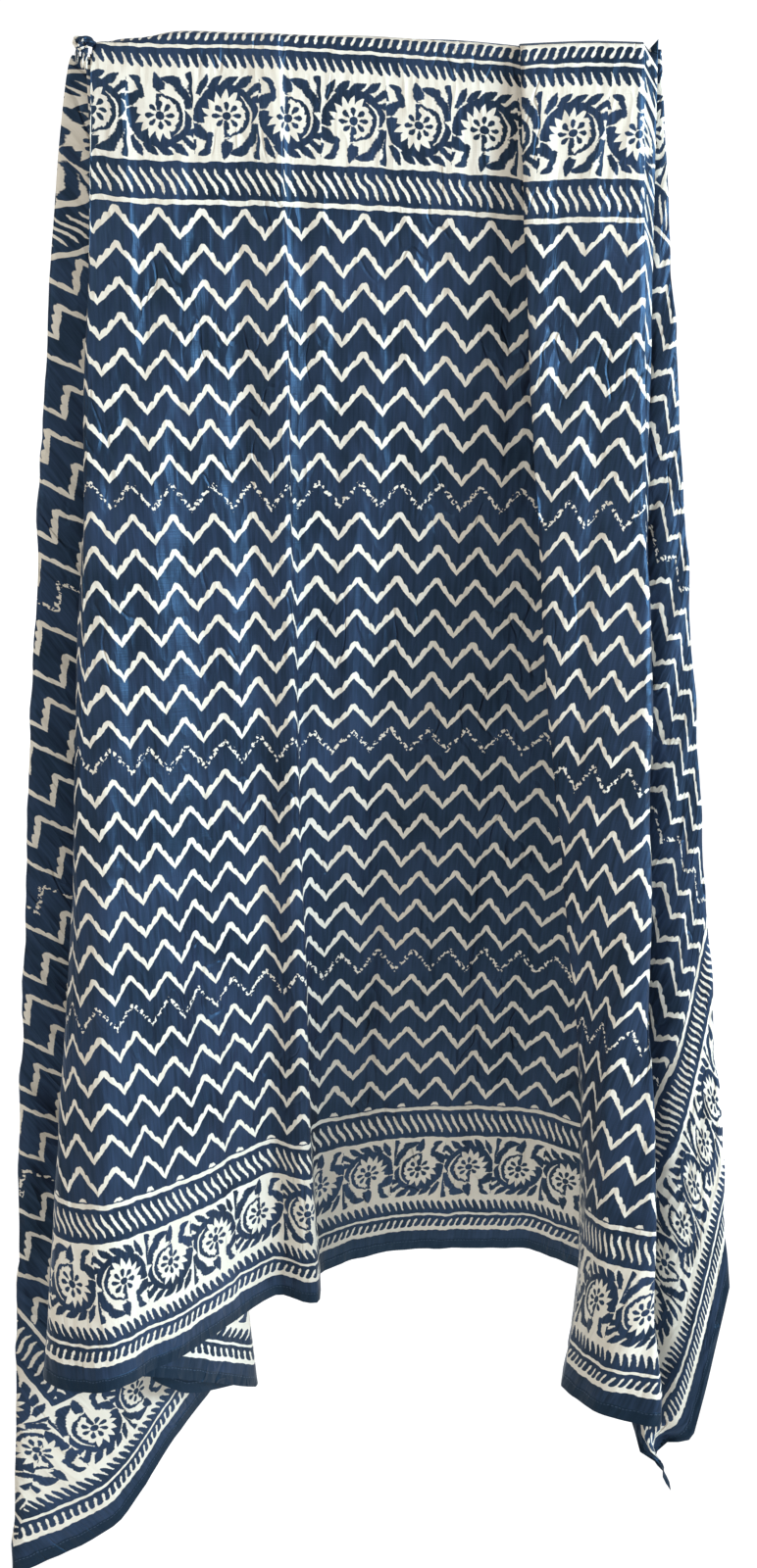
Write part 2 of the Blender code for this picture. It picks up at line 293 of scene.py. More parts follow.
@dataclass
class HungCloth:
    """The whole cloth as it hangs, one grid from the left free end to the right free end."""

    lean_curve: float = 1.5
    bow_scale: float = 6.75
    low_bow_scale: float = 12.2
    swell_scale: float = 2.6
    slack: float = 0.025
    slack_top: float = 6.0
    slack_foot: float = 3.0
    roll_radius: float = 0.005
    roll_fade: float = 1.0
    top_band: float = 0.034
    top_rows: int = 17
    lower_rows: int = 178
    samples: int = 24
    wrinkle_height: float = 0.0034
    wrinkle_grain: tuple[float, float] = (34.0, 4.5)
    fine_height: float = 0.0011
    fine_grain: tuple[float, float] = (78.0, 17.0)
    crease_scale: float = 1.5
    wrinkle_start: float = 0.03
    wrinkle_full: float = 0.16
    tail_thin: float = 0.030
    tail_open: float = 0.078
    tail_share: float = 0.30
    tail_lean: tuple[float, float, float] = (-0.30, 0.0, 0.95)
    tail_twist: float = 7.0
    folded_columns: int = 3
    fewest_columns: int = 3
    folds: tuple[Fold, ...] = FOLDS

    def rows(self) -> np.ndarray:
        """Fractions down the fold lines, close together where the hem is turned over."""
        top = np.linspace(0.0, self.top_band, self.top_rows, endpoint=False)
        return np.concatenate([top, np.linspace(self.top_band, 1.0, self.lower_rows)])

    def hanging(self, fold: Fold, v: np.ndarray) -> np.ndarray:
        """Where a fold line hangs.

        Args:
            fold: the fold line.
            v: fractions down it.

        Returns:
            An array of places, one for each fraction.
        """
        top, foot = fold.top, fold.foot
        bow = fold.bow * self.bow_scale * v ** 2 * (1.0 - v)
        bow = bow + fold.low_bow * self.low_bow_scale * v ** 4 * (1.0 - v)
        bow = bow + fold.swell * self.swell_scale * np.sqrt(v) * (1.0 - v)
        x = top[0] + (foot[0] - top[0]) * v + bow
        y = top[1] + (foot[1] - top[1]) * v ** self.lean_curve
        fall = v * (top[2] - foot[2])
        if not fold.roll:
            return np.stack([x, y, top[2] - fall], axis=1)
        beyond = fall - fold.roll
        behind = np.clip(0.5 - beyond / (2.0 * self.roll_radius), 0.0, 1.0)
        rolled = top[2] - np.abs(beyond) - 2.0 * self.roll_radius * behind * (1.0 - behind)
        share = np.clip(1.0 - np.maximum(0.0, beyond) / self.roll_fade, 0.0, 1.0)
        z = rolled * share + (top[2] - fall) * (1.0 - share)
        return np.stack([x, y + 2.0 * self.roll_radius * behind, z], axis=1)

    def flat(self, fold: Fold, v: np.ndarray) -> np.ndarray:
        """Where a fold line lies on the flat cloth.

        Args:
            fold: the fold line.
            v: fractions down it.

        Returns:
            An array of flat places, along and down the cloth.
        """
        top = np.array([fold.top_s, 0.0])
        foot = np.array([fold.foot_s, fold.foot_t])
        eased = v + self.slack * (1.0 - (1.0 - v) ** self.slack_top) * (1.0 - v ** self.slack_foot)
        if fold.fan:
            start = top + (foot - top) / np.linalg.norm(foot - top) * fold.knotted
            sideways = fold.swell * self.swell_scale * np.sqrt(v) * (1.0 - v)
            return start + (foot - start) * eased[:, None] + np.stack([sideways, 0.0 * v], axis=1)
        s = top[0] + (foot[0] - top[0]) * v ** self.lean_curve
        return np.stack([s, eased * fold.foot_t], axis=1)

    def controls(self, v: np.ndarray) -> tuple[np.ndarray, np.ndarray, list[int]]:
        """The places that each row passes through.

        Args:
            v: fractions down the fold lines.

        Returns:
            The places by row and control, the bend of each control, and the fold of each control.
        """
        places, turns, owners = [], [], []
        for number, fold in enumerate(self.folds):
            here = self.hanging(fold, v)
            if fold.doubled:
                half = np.zeros_like(here)
                half[:, 1] = (fold.wide[0] + (fold.wide[1] - fold.wide[0]) * v) / 2.0
                places += [here + half, here - half]
                turns += [fold.turn, fold.turn]
                owners += [number, number]
            else:
                places.append(here)
                turns.append(fold.turn)
                owners.append(number)
        return np.stack(places, axis=1), np.array(turns), owners

    def columns(self, owner: int, after: int) -> int:
        """Columns between two neighbouring controls.

        Args:
            owner: the fold of the left control.
            after: the fold of the right control.

        Returns:
            The number of columns.
        """
        if owner == after:
            return self.folded_columns
        here, there = self.folds[owner], self.folds[after]
        wide = math.hypot(there.foot_s - here.foot_s, there.foot_t - here.foot_t)
        return max(self.fewest_columns, round(wide / here.cell.value))

    def grid(self) -> tuple[np.ndarray, np.ndarray]:
        """Hanging places and flat places of the grid, by row and column."""
        v = self.rows()
        places, turns, owners = self.controls(v)
        ahead = np.concatenate([places[:, :1] * 2.0 - places[:, 1:2], places,
                                places[:, -1:] * 2.0 - places[:, -2:-1]], axis=1)
        steps = np.diff(ahead, axis=1)
        lengths = np.linalg.norm(steps, axis=2, keepdims=True)
        units = steps / np.maximum(lengths, 1e-9)
        bends = (units[:, :-1] + units[:, 1:]) * np.minimum(lengths[:, :-1], lengths[:, 1:])
        bends = bends * turns[None, :, None]
        w = np.linspace(0.0, 1.0, self.samples + 1)[None, :, None]
        shapes = (2 * w ** 3 - 3 * w ** 2 + 1, w ** 3 - 2 * w ** 2 + w,
                  3 * w ** 2 - 2 * w ** 3, w ** 3 - w ** 2)
        total = np.zeros(len(v))
        row_places, row_arcs, middles = [], [], {}
        for k in range(len(owners) - 1):
            ends = (places[:, k], bends[:, k], places[:, k + 1], bends[:, k + 1])
            curve = sum(shape * end[:, None, :] for shape, end in zip(shapes, ends))
            arcs = np.cumsum(np.linalg.norm(np.diff(curve, axis=1), axis=2), axis=1)
            arcs = np.concatenate([np.zeros((len(v), 1)), arcs], axis=1)
            count = self.columns(owners[k], owners[k + 1])
            want = np.arange(count) / count
            spread = np.stack([
                np.stack([np.interp(want * arc[-1], arc, line[:, axis]) for axis in range(3)], axis=1)
                for arc, line in zip(arcs, curve)])
            row_places.append(spread)
            row_arcs.append(total[:, None] + want[None, :] * arcs[:, -1:])
            if owners[k] == owners[k + 1]:
                middles[owners[k]] = total + arcs[:, -1] / 2.0
            elif owners[k] not in middles:
                middles[owners[k]] = total.copy()
            total = total + arcs[:, -1]
        row_places.append(places[:, -1:])
        row_arcs.append(total[:, None])
        middles[owners[-1]] = total
        hung, arc = np.concatenate(row_places, axis=1), np.concatenate(row_arcs, axis=1)
        marks = np.stack([middles[n] for n in range(len(self.folds))], axis=1)
        marks[:, 0] = 0.0
        flats = np.stack([self.flat(fold, v) for fold in self.folds], axis=1)
        flat = np.stack([
            np.stack([np.interp(arc[r], marks[r], flats[r, :, axis]) for axis in range(2)], axis=1)
            for r in range(len(v))])
        return hung, flat

    def relief(self, flat: np.ndarray, v: np.ndarray) -> np.ndarray:
        """How far the wrinkles and pressed creases stand out of the cloth.

        Args:
            flat: flat places by row and column.
            v: fractions down the fold lines.

        Returns:
            The heights in metres, by row and column.
        """
        s, t = flat[..., 0], flat[..., 1]
        height = np.zeros(s.shape)
        for size, grain in ((self.wrinkle_height, self.wrinkle_grain), (self.fine_height, self.fine_grain)):
            waves = [noise.noise(Vector((a * grain[0], b * grain[1], grain[0])))
                     for a, b in flat.reshape(-1, 2)]
            height += size * np.array(waves).reshape(s.shape)
        height *= np.clip((v - self.wrinkle_start) / self.wrinkle_full, 0.0, 1.0)[:, None]
        for crease in CREASES:
            start, run = np.array(crease.start), np.subtract(crease.end, crease.start)
            share = np.clip(((s - start[0]) * run[0] + (t - start[1]) * run[1]) / (run @ run), 0.0, 1.0)
            away = np.hypot(s - start[0] - share * run[0], t - start[1] - share * run[1]) / crease.width
            height -= self.crease_scale * crease.depth * np.sin(np.pi * share) ** 0.5 * np.exp(-away ** 2)
        return height

    def twisted_tail(self, hung: np.ndarray, flat: np.ndarray) -> np.ndarray:
        """Draws the right lower corner together into a thin twisted tail.

        Args:
            hung: hanging places by row and column.
            flat: flat places by row and column.

        Returns:
            The hanging places with the tail.
        """
        corner = np.array(next(fold.foot for fold in self.folds if fold.name == "right_low_corner"))
        reach = np.hypot(CLOTH_LENGTH - flat[..., 0], CLOTH_WIDTH - flat[..., 1])
        axis = corner + reach[..., None] * np.array(self.tail_lean)
        open_share = np.clip((reach - self.tail_thin) / (self.tail_open - self.tail_thin), 0.0, 1.0)
        open_share = open_share ** 2 * (3.0 - 2.0 * open_share)
        away = (hung - axis) * (self.tail_share + (1.0 - self.tail_share) * open_share)[..., None]
        turn = self.tail_twist * (1.0 - open_share) ** 3 * np.clip(reach / self.tail_open, 0.0, 1.0)
        x = away[..., 0] * np.cos(turn) - away[..., 1] * np.sin(turn)
        y = away[..., 0] * np.sin(turn) + away[..., 1] * np.cos(turn)
        return axis + np.stack([x, y, away[..., 2]], axis=-1)

    def build(self) -> bpy.types.Object:
        """Makes the cloth's mesh, with the flat places as its map."""
        hung, flat = self.grid()
        facing = np.cross(np.gradient(hung, axis=1), np.gradient(hung, axis=0))
        facing /= np.maximum(np.linalg.norm(facing, axis=2, keepdims=True), 1e-12)
        hung = hung - facing * self.relief(flat, self.rows())[..., None]
        hung = self.twisted_tail(hung, flat)
        rows, columns = hung.shape[:2]
        index = np.arange(rows * columns).reshape(rows, columns)
        faces = np.stack([index[:-1, :-1], index[1:, :-1], index[1:, 1:], index[:-1, 1:]], axis=-1)
        faces = faces.reshape(-1, 4)
        log.info("cloth: %d rows, %d columns, %d triangles", rows, columns, 2 * len(faces))
        return cloth_piece("sarong_sheet", hung.reshape(-1, 3), faces, flat.reshape(-1, 2))


@dataclass(frozen=True)
class Strand:
    """One gathered strand of the knot: its path, its thickness, and the flat cloth that shows on it."""

    path: tuple[tuple[float, float, float], ...]
    radius: float
    pleats: int
    twist: float
    flat_start: tuple[float, float]
    flat_end: tuple[float, float]
    flat_round: tuple[float, float]


STRANDS: tuple[Strand, ...] = (
    Strand(((-0.2160, 0.0150, 0.0030), (-0.2235, 0.0110, 0.0020), (-0.2255, 0.0020, 0.0015),
            (-0.2205, -0.0050, 0.0030), (-0.2130, -0.0058, 0.0036), (-0.2075, -0.0030, 0.0018),
            (-0.2065, 0.0050, 0.0008), (-0.2110, 0.0130, 0.0020)),
           0.0043, 4, 3.0, (0.80, 0.004), (0.86, 0.004), (0.0, 0.014)),
    Strand(((-0.2190, 0.0010, 0.0070), (-0.2255, -0.0030, 0.0060), (-0.2275, -0.0050, 0.0005),
            (-0.2240, -0.0075, -0.0050), (-0.2180, -0.0070, -0.0085), (-0.2150, -0.0030, -0.0110)),
           0.0023, 3, 4.0, (0.81, 0.0222), (0.84, 0.0222), (0.0, 0.0026)),
    Strand(((-0.2110, -0.0040, 0.0050), (-0.2165, -0.0085, 0.0020), (-0.2215, -0.0085, -0.0030),
            (-0.2240, -0.0060, -0.0110), (-0.2262, -0.0030, -0.0240)),
           0.0024, 3, 5.0, (0.79, 0.024), (0.80, 0.056), (0.012, 0.0)),
    Strand(((-0.2210, -0.0030, 0.0010), (-0.2190, -0.0080, -0.0040), (-0.2165, -0.0075, -0.0100),
            (-0.2170, -0.0055, -0.0180), (-0.2195, -0.0030, -0.0290)),
           0.0028, 4, 4.0, (0.77, 0.028), (0.78, 0.062), (0.014, 0.0)),
    Strand(((-0.2130, -0.0020, 0.0010), (-0.2120, -0.0065, -0.0040), (-0.2135, -0.0068, -0.0110),
            (-0.2145, -0.0050, -0.0200), (-0.2150, -0.0035, -0.0310)),
           0.0025, 4, 4.0, (0.84, 0.030), (0.84, 0.064), (0.013, 0.0)),
)


@dataclass
class Knot:
    """The small knot in the left pinched corner, made of gathered strands of the same cloth."""

    rings: int = 54
    sides: int = 28
    pleat_depth: float = 0.17
    end_taper: float = 9.0
    end_share: float = 0.12
    side_guide: tuple[float, float, float] = (0.0, 0.3, 1.0)
    middle: tuple[float, float, float] = (-0.2165, 0.0, 0.0)
    place: tuple[float, float, float] = (-0.2165, -0.002, -0.0035)
    scale: float = 0.60
    strands: tuple[Strand, ...] = STRANDS

    def path(self, strand: Strand) -> np.ndarray:
        """A smooth line through a strand's points."""
        points = np.array(strand.path)
        points = np.concatenate([2 * points[:1] - points[1:2], points, 2 * points[-1:] - points[-2:-1]])
        places = []
        for u in np.linspace(0.0, len(points) - 3 - 1e-6, self.rings):
            k, w = int(u), u - int(u)
            a, b, c, d = points[k:k + 4]
            places.append(0.5 * (2 * b + (c - a) * w + (2 * a - 5 * b + 4 * c - d) * w ** 2
                                 + (3 * b - a - 3 * c + d) * w ** 3))
        return np.array(places)

    def tube(self, strand: Strand) -> tuple[np.ndarray, np.ndarray]:
        """Places and flat places round a strand.

        Args:
            strand: the strand.

        Returns:
            Two arrays by ring and side.
        """
        line = (self.path(strand) - np.array(self.middle)) * self.scale + np.array(self.place)
        ahead = np.gradient(line, axis=0)
        ahead /= np.linalg.norm(ahead, axis=1, keepdims=True)
        side = np.cross(ahead[0], self.side_guide)
        sides = []
        for direction in ahead:
            side = side - direction * (side @ direction)
            side = side / np.linalg.norm(side)
            sides.append(side)
        sides = np.array(sides)
        over = np.cross(ahead, sides)
        u = np.linspace(0.0, 1.0, self.rings)[:, None]
        angle = np.linspace(0.0, math.tau, self.sides + 1)[None, :]
        taper = np.clip(np.minimum(u, 1.0 - u) * self.end_taper, 0.0, 1.0) ** 0.5
        pleat = 1.0 + self.pleat_depth * np.cos(strand.pleats * angle + strand.twist * math.tau * u)
        radius = strand.radius * self.scale * pleat * (self.end_share + (1.0 - self.end_share) * taper)
        places = line[:, None] + radius[..., None] * (np.cos(angle)[..., None] * sides[:, None]
                                                      + np.sin(angle)[..., None] * over[:, None])
        start, end = np.array(strand.flat_start), np.array(strand.flat_end)
        around = np.array(strand.flat_round)
        share = np.abs(angle / math.pi - 1.0)[..., None]
        flat = start + (end - start) * u[..., None] + around * share
        return places, flat

    def build(self) -> bpy.types.Object:
        """Makes the knot's mesh, with the flat places as its map."""
        vertices, faces, flats = [], [], []
        for strand in self.strands:
            places, flat = self.tube(strand)
            first = len(vertices)
            wide = self.sides + 1
            vertices += places.reshape(-1, 3).tolist()
            flats += flat.reshape(-1, 2).tolist()
            faces += [(first + r * wide + c, first + r * wide + c + 1, first + (r + 1) * wide + c + 1,
                       first + (r + 1) * wide + c) for r in range(self.rings - 1) for c in range(self.sides)]
        log.info("knot: %d strands, %d triangles", len(self.strands), 2 * len(faces))
        return cloth_piece("sarong_knot", np.array(vertices), np.array(faces), np.array(flats))


Number = "Value | float"


class Value:
    """A number that changes over the cloth: the output of a shader node, with Python's operators."""

    def __init__(self, maker: "NodeMaker", socket: bpy.types.NodeSocket) -> None:
        """Wraps a node's output."""
        self.maker = maker
        self.socket = socket

    def maths(self, operation: str, *terms: Number, clamp: bool = False) -> "Value":
        """One Math node.

        Args:
            operation: the Math node's operation.
            *terms: its inputs in order.
            clamp: whether the result is kept from 0 to 1.

        Returns:
            The node's result.
        """
        settings = {"operation": operation, "use_clamp": clamp}
        made = self.maker.node("ShaderNodeMath", settings, dict(enumerate(terms)))
        return Value(self.maker, made.outputs[0])

    def __add__(self, other: Number) -> "Value":
        """Sum."""
        return self.maths("ADD", self, other)

    def __radd__(self, other: Number) -> "Value":
        """Sum, reflected."""
        return self.maths("ADD", other, self)

    def __sub__(self, other: Number) -> "Value":
        """Difference."""
        return self.maths("SUBTRACT", self, other)

    def __rsub__(self, other: Number) -> "Value":
        """Difference, reflected."""
        return self.maths("SUBTRACT", other, self)

    def __mul__(self, other: Number) -> "Value":
        """Product."""
        return self.maths("MULTIPLY", self, other)

    def __rmul__(self, other: Number) -> "Value":
        """Product, reflected."""
        return self.maths("MULTIPLY", other, self)

    def __truediv__(self, other: Number) -> "Value":
        """Quotient."""
        return self.maths("DIVIDE", self, other)

    def __neg__(self) -> "Value":
        """The number with its sign changed."""
        return self.maths("MULTIPLY", self, -1.0)

    def __abs__(self) -> "Value":
        """The number without its sign."""
        return self.maths("ABSOLUTE", self)

    def __lt__(self, other: Number) -> "Value":
        """1 where the number is below the other, else 0."""
        return self.maths("LESS_THAN", self, other)

    def __gt__(self, other: Number) -> "Value":
        """1 where the number is above the other, else 0."""
        return self.maths("GREATER_THAN", self, other)

    def least(self, other: Number) -> "Value":
        """The lower of two numbers."""
        return self.maths("MINIMUM", self, other)

    def most(self, other: Number) -> "Value":
        """The higher of two numbers."""
        return self.maths("MAXIMUM", self, other)

    def line(self, gain: Number, start: Number, clamp: bool = False) -> "Value":
        """The number times gain, plus start."""
        return self.maths("MULTIPLY_ADD", self, gain, start, clamp=clamp)

    def whole(self) -> "Value":
        """The whole part, rounded down."""
        return self.maths("FLOOR", self)

    def part(self) -> "Value":
        """What is left above the whole part."""
        return self.maths("FRACT", self)

    def wave(self) -> "Value":
        """The sine."""
        return self.maths("SINE", self)

    def drawn(self, softness: float) -> "Value":
        """1 inside a shape and 0 outside it, where the number is the distance from its outline."""
        return self.line(-1.0 / softness, 0.5, clamp=True)


class NodeMaker:
    """Adds nodes to a material."""

    COLOUR_A, COLOUR_B, COLOUR_OUT = 6, 7, 2

    def __init__(self, material: bpy.types.Material) -> None:
        """Works on the material's own node tree."""
        self.tree = material.node_tree

    def node(self, kind: str, settings: dict | None = None, inputs: dict | None = None) -> bpy.types.Node:
        """Adds one node.

        Args:
            kind: the node's type.
            settings: its settings, among them a curve's points, which are set first.
            inputs: values or links for its sockets, by name or number.

        Returns:
            The node.
        """
        made = self.tree.nodes.new(kind)
        for name, setting in (settings or {}).items():
            if name == "points":
                self._set_points(made.mapping, setting)
            else:
                setattr(made, name, setting)
        for key, given in (inputs or {}).items():
            if isinstance(given, Value):
                given = given.socket
            if isinstance(given, bpy.types.NodeSocket):
                self.tree.links.new(given, made.inputs[key])
            else:
                made.inputs[key].default_value = given
        return made

    @staticmethod
    def _set_points(mapping: bpy.types.CurveMapping, wanted: Sequence[tuple[float, float]]) -> None:
        """Gives a curve its points, joined by straight lines."""
        points = mapping.curves[0].points
        while len(points) < len(wanted):
            points.new(1.0, 1.0)
        for point, place in zip(points, wanted):
            point.location = place
            point.handle_type = "VECTOR"
        mapping.update()

    def profile(self, at: Value, points: Sequence[tuple[float, float]]) -> Value:
        """A curve of straight lines through given points.

        Args:
            at: the number that the curve is read at.
            points: pairs of number and result, in order.

        Returns:
            The result.
        """
        first, last = points[0][0], points[-1][0]
        low = min(result for _, result in points)
        high = max(result for _, result in points)
        units = [((x - first) / (last - first), (y - low) / (high - low)) for x, y in points]
        unit = at.line(1.0 / (last - first), -first / (last - first), clamp=True)
        curve = self.node("ShaderNodeFloatCurve", {"points": units}, {"Value": unit})
        return Value(self, curve.outputs[0]).line(high - low, low)

    def noise(self, place: bpy.types.NodeSocket, scale: float, detail: float = 0.0) -> bpy.types.Node:
        """A noise texture over the flat cloth.

        Args:
            place: the flat place.
            scale: how many bumps to a metre.
            detail: how many finer layers it has.

        Returns:
            The texture's node.
        """
        return self.node("ShaderNodeTexNoise", {"noise_dimensions": "2D"},
                         {"Vector": place, "Scale": scale, "Detail": detail})

    def grain(self, place: bpy.types.NodeSocket, scale: float, detail: float = 0.0) -> Value:
        """The height of a noise texture, from 0 to 1."""
        return Value(self, self.noise(place, scale, detail).outputs[0])

    def vectors(self, operation: str, one: object, other: object) -> bpy.types.NodeSocket:
        """One Vector Math node.

        Args:
            operation: its operation.
            one: its first vector or link.
            other: its second vector or link.

        Returns:
            The node's vector.
        """
        return self.node("ShaderNodeVectorMath", {"operation": operation}, {0: one, 1: other}).outputs[0]

    def mixed(self, share: Number, one: object, other: object) -> bpy.types.NodeSocket:
        """A colour between two.

        Args:
            share: how much of the second colour shows.
            one: the first colour.
            other: the second colour.

        Returns:
            The mixed colour.
        """
        made = self.node("ShaderNodeMix", {"data_type": "RGBA"},
                         {0: share, self.COLOUR_A: one, self.COLOUR_B: other})
        return made.outputs[self.COLOUR_OUT]


@dataclass(frozen=True)
class Leaf:
    """A leaf of the vine in its cell: where it starts, which way it grows in degrees, and its sizes in mm."""

    name: str
    x: float
    y: float
    angle: float
    length: float
    width: float
    bend: float
    headed: bool = False


LEAVES: tuple[Leaf, ...] = (
    Leaf("stem_leaf", 3.0, 15.0, 116, 19.5, 9.0, -0.14),
    Leaf("tall_head", 22.6, 5.5, 99, 27.5, 14.5, 0.48, headed=True),
    Leaf("side_drop", 25.4, 7.5, 94, 26.0, 9.0, 0.0, headed=True),
    Leaf("hook_stem", -30.5, 7.0, 18, 22.5, 10.0, 0.26),
    Leaf("hook_head", -12.8, 12.5, 86, 17.5, 9.6, 0.44, headed=True),
    Leaf("far_head", -24.5, 18.0, 92, 12.0, 9.2, 0.40, headed=True),
    Leaf("left_point", -27.5, 1.2, 8, 14.5, 6.6, 0.0),
    Leaf("low_first", -21.0, -16.5, -64, 18.0, 6.4, 0.0),
    Leaf("low_thin", -12.5, -21.0, -50, 14.5, 6.6, 0.10),
    Leaf("low_middle", -3.0, -23.0, -34, 15.0, 7.0, 0.12),
    Leaf("low_long", 7.5, -21.5, -28, 16.5, 6.8, -0.12),
    Leaf("low_head", 17.0, -17.0, -46, 18.5, 10.6, 0.24, headed=True),
    Leaf("low_side", 19.0, -12.5, -6, 17.5, 7.8, 0.0),
)


@dataclass(frozen=True)
class BorderPrint:
    """The border's bands from the edge of the cloth inward, in mm."""

    hem_fold: float = 11.0
    hem_end: float = 22.0
    field_start: float = 161.6
    teeth_pitch: float = 7.0
    rope_pitch: float = 7.9
    rope_from: float = 100.0
    vine_from: float = 58.2
    vine_to: float = 127.2
    field_margin: float = 0.6
    clear: float = 50.0
    none: float = -2.0
    full: float = 6.0

    def half_widths(self) -> list[tuple[float, float]]:
        """Half the width of the cream strokes against the distance from the edge."""
        none, full = self.none, self.full
        margin = [(0, none), (21.7, none), (22.3, full), (25.6, full)]
        small_teeth = [(26.5, 1.9), (27.8, 0.9), (31.0, 1.1), (33.6, 1.4), (35.0, 0.9), (35.9, -0.6)]
        thin_line = [(38.7, none), (39.2, full), (41.3, full), (41.8, none)]
        large_teeth = [(45.6, -0.8), (46.6, 0.5), (49.5, 0.9), (52.5, 1.3), (54.8, 1.8), (56.4, 2.7),
                       (57.6, full)]
        vine = [(127.6, full), (128.2, none)]
        rope = [(131.8, -1.0), (133.2, 0.6), (137.0, 1.45), (143.0, 1.75), (149.0, 1.4), (152.6, 0.6),
                (154.4, -1.0)]
        inner_line = [(156.8, none), (157.4, full), (160.6, full), (161.2, none), (170.0, none)]
        return margin + small_teeth + thin_line + large_teeth + vine + rope + inner_line

    def slants(self) -> list[tuple[float, float]]:
        """How far the strokes lean along the edge against the distance from it."""
        return [(0, 0), (25.0, 2.0), (35.5, -2.0), (42.0, -2.4), (45.0, -2.4), (56.0, 2.4), (100.0, 0.0),
                (131.0, -5.4), (136.0, -4.4), (140.0, -1.9), (144.0, 1.0), (148.0, 3.2), (155.0, 5.2),
                (170.0, 5.2)]

    def distance(self, maker: NodeMaker, edge: Value, along: Value) -> Value:
        """Distance from the outline of the border's cream bands and strokes.

        Args:
            maker: adds the nodes.
            edge: distance from the cloth's edge.
            along: place along the edge.

        Returns:
            The distance, below zero in cream.
        """
        half_width = maker.profile(edge, self.half_widths())
        lean = maker.profile(edge, self.slants())
        pitch = (edge > self.rope_from).line(self.rope_pitch - self.teeth_pitch, self.teeth_pitch)
        stroke = abs(((along - lean) / pitch).part() - 0.5) * pitch
        return stroke - half_width


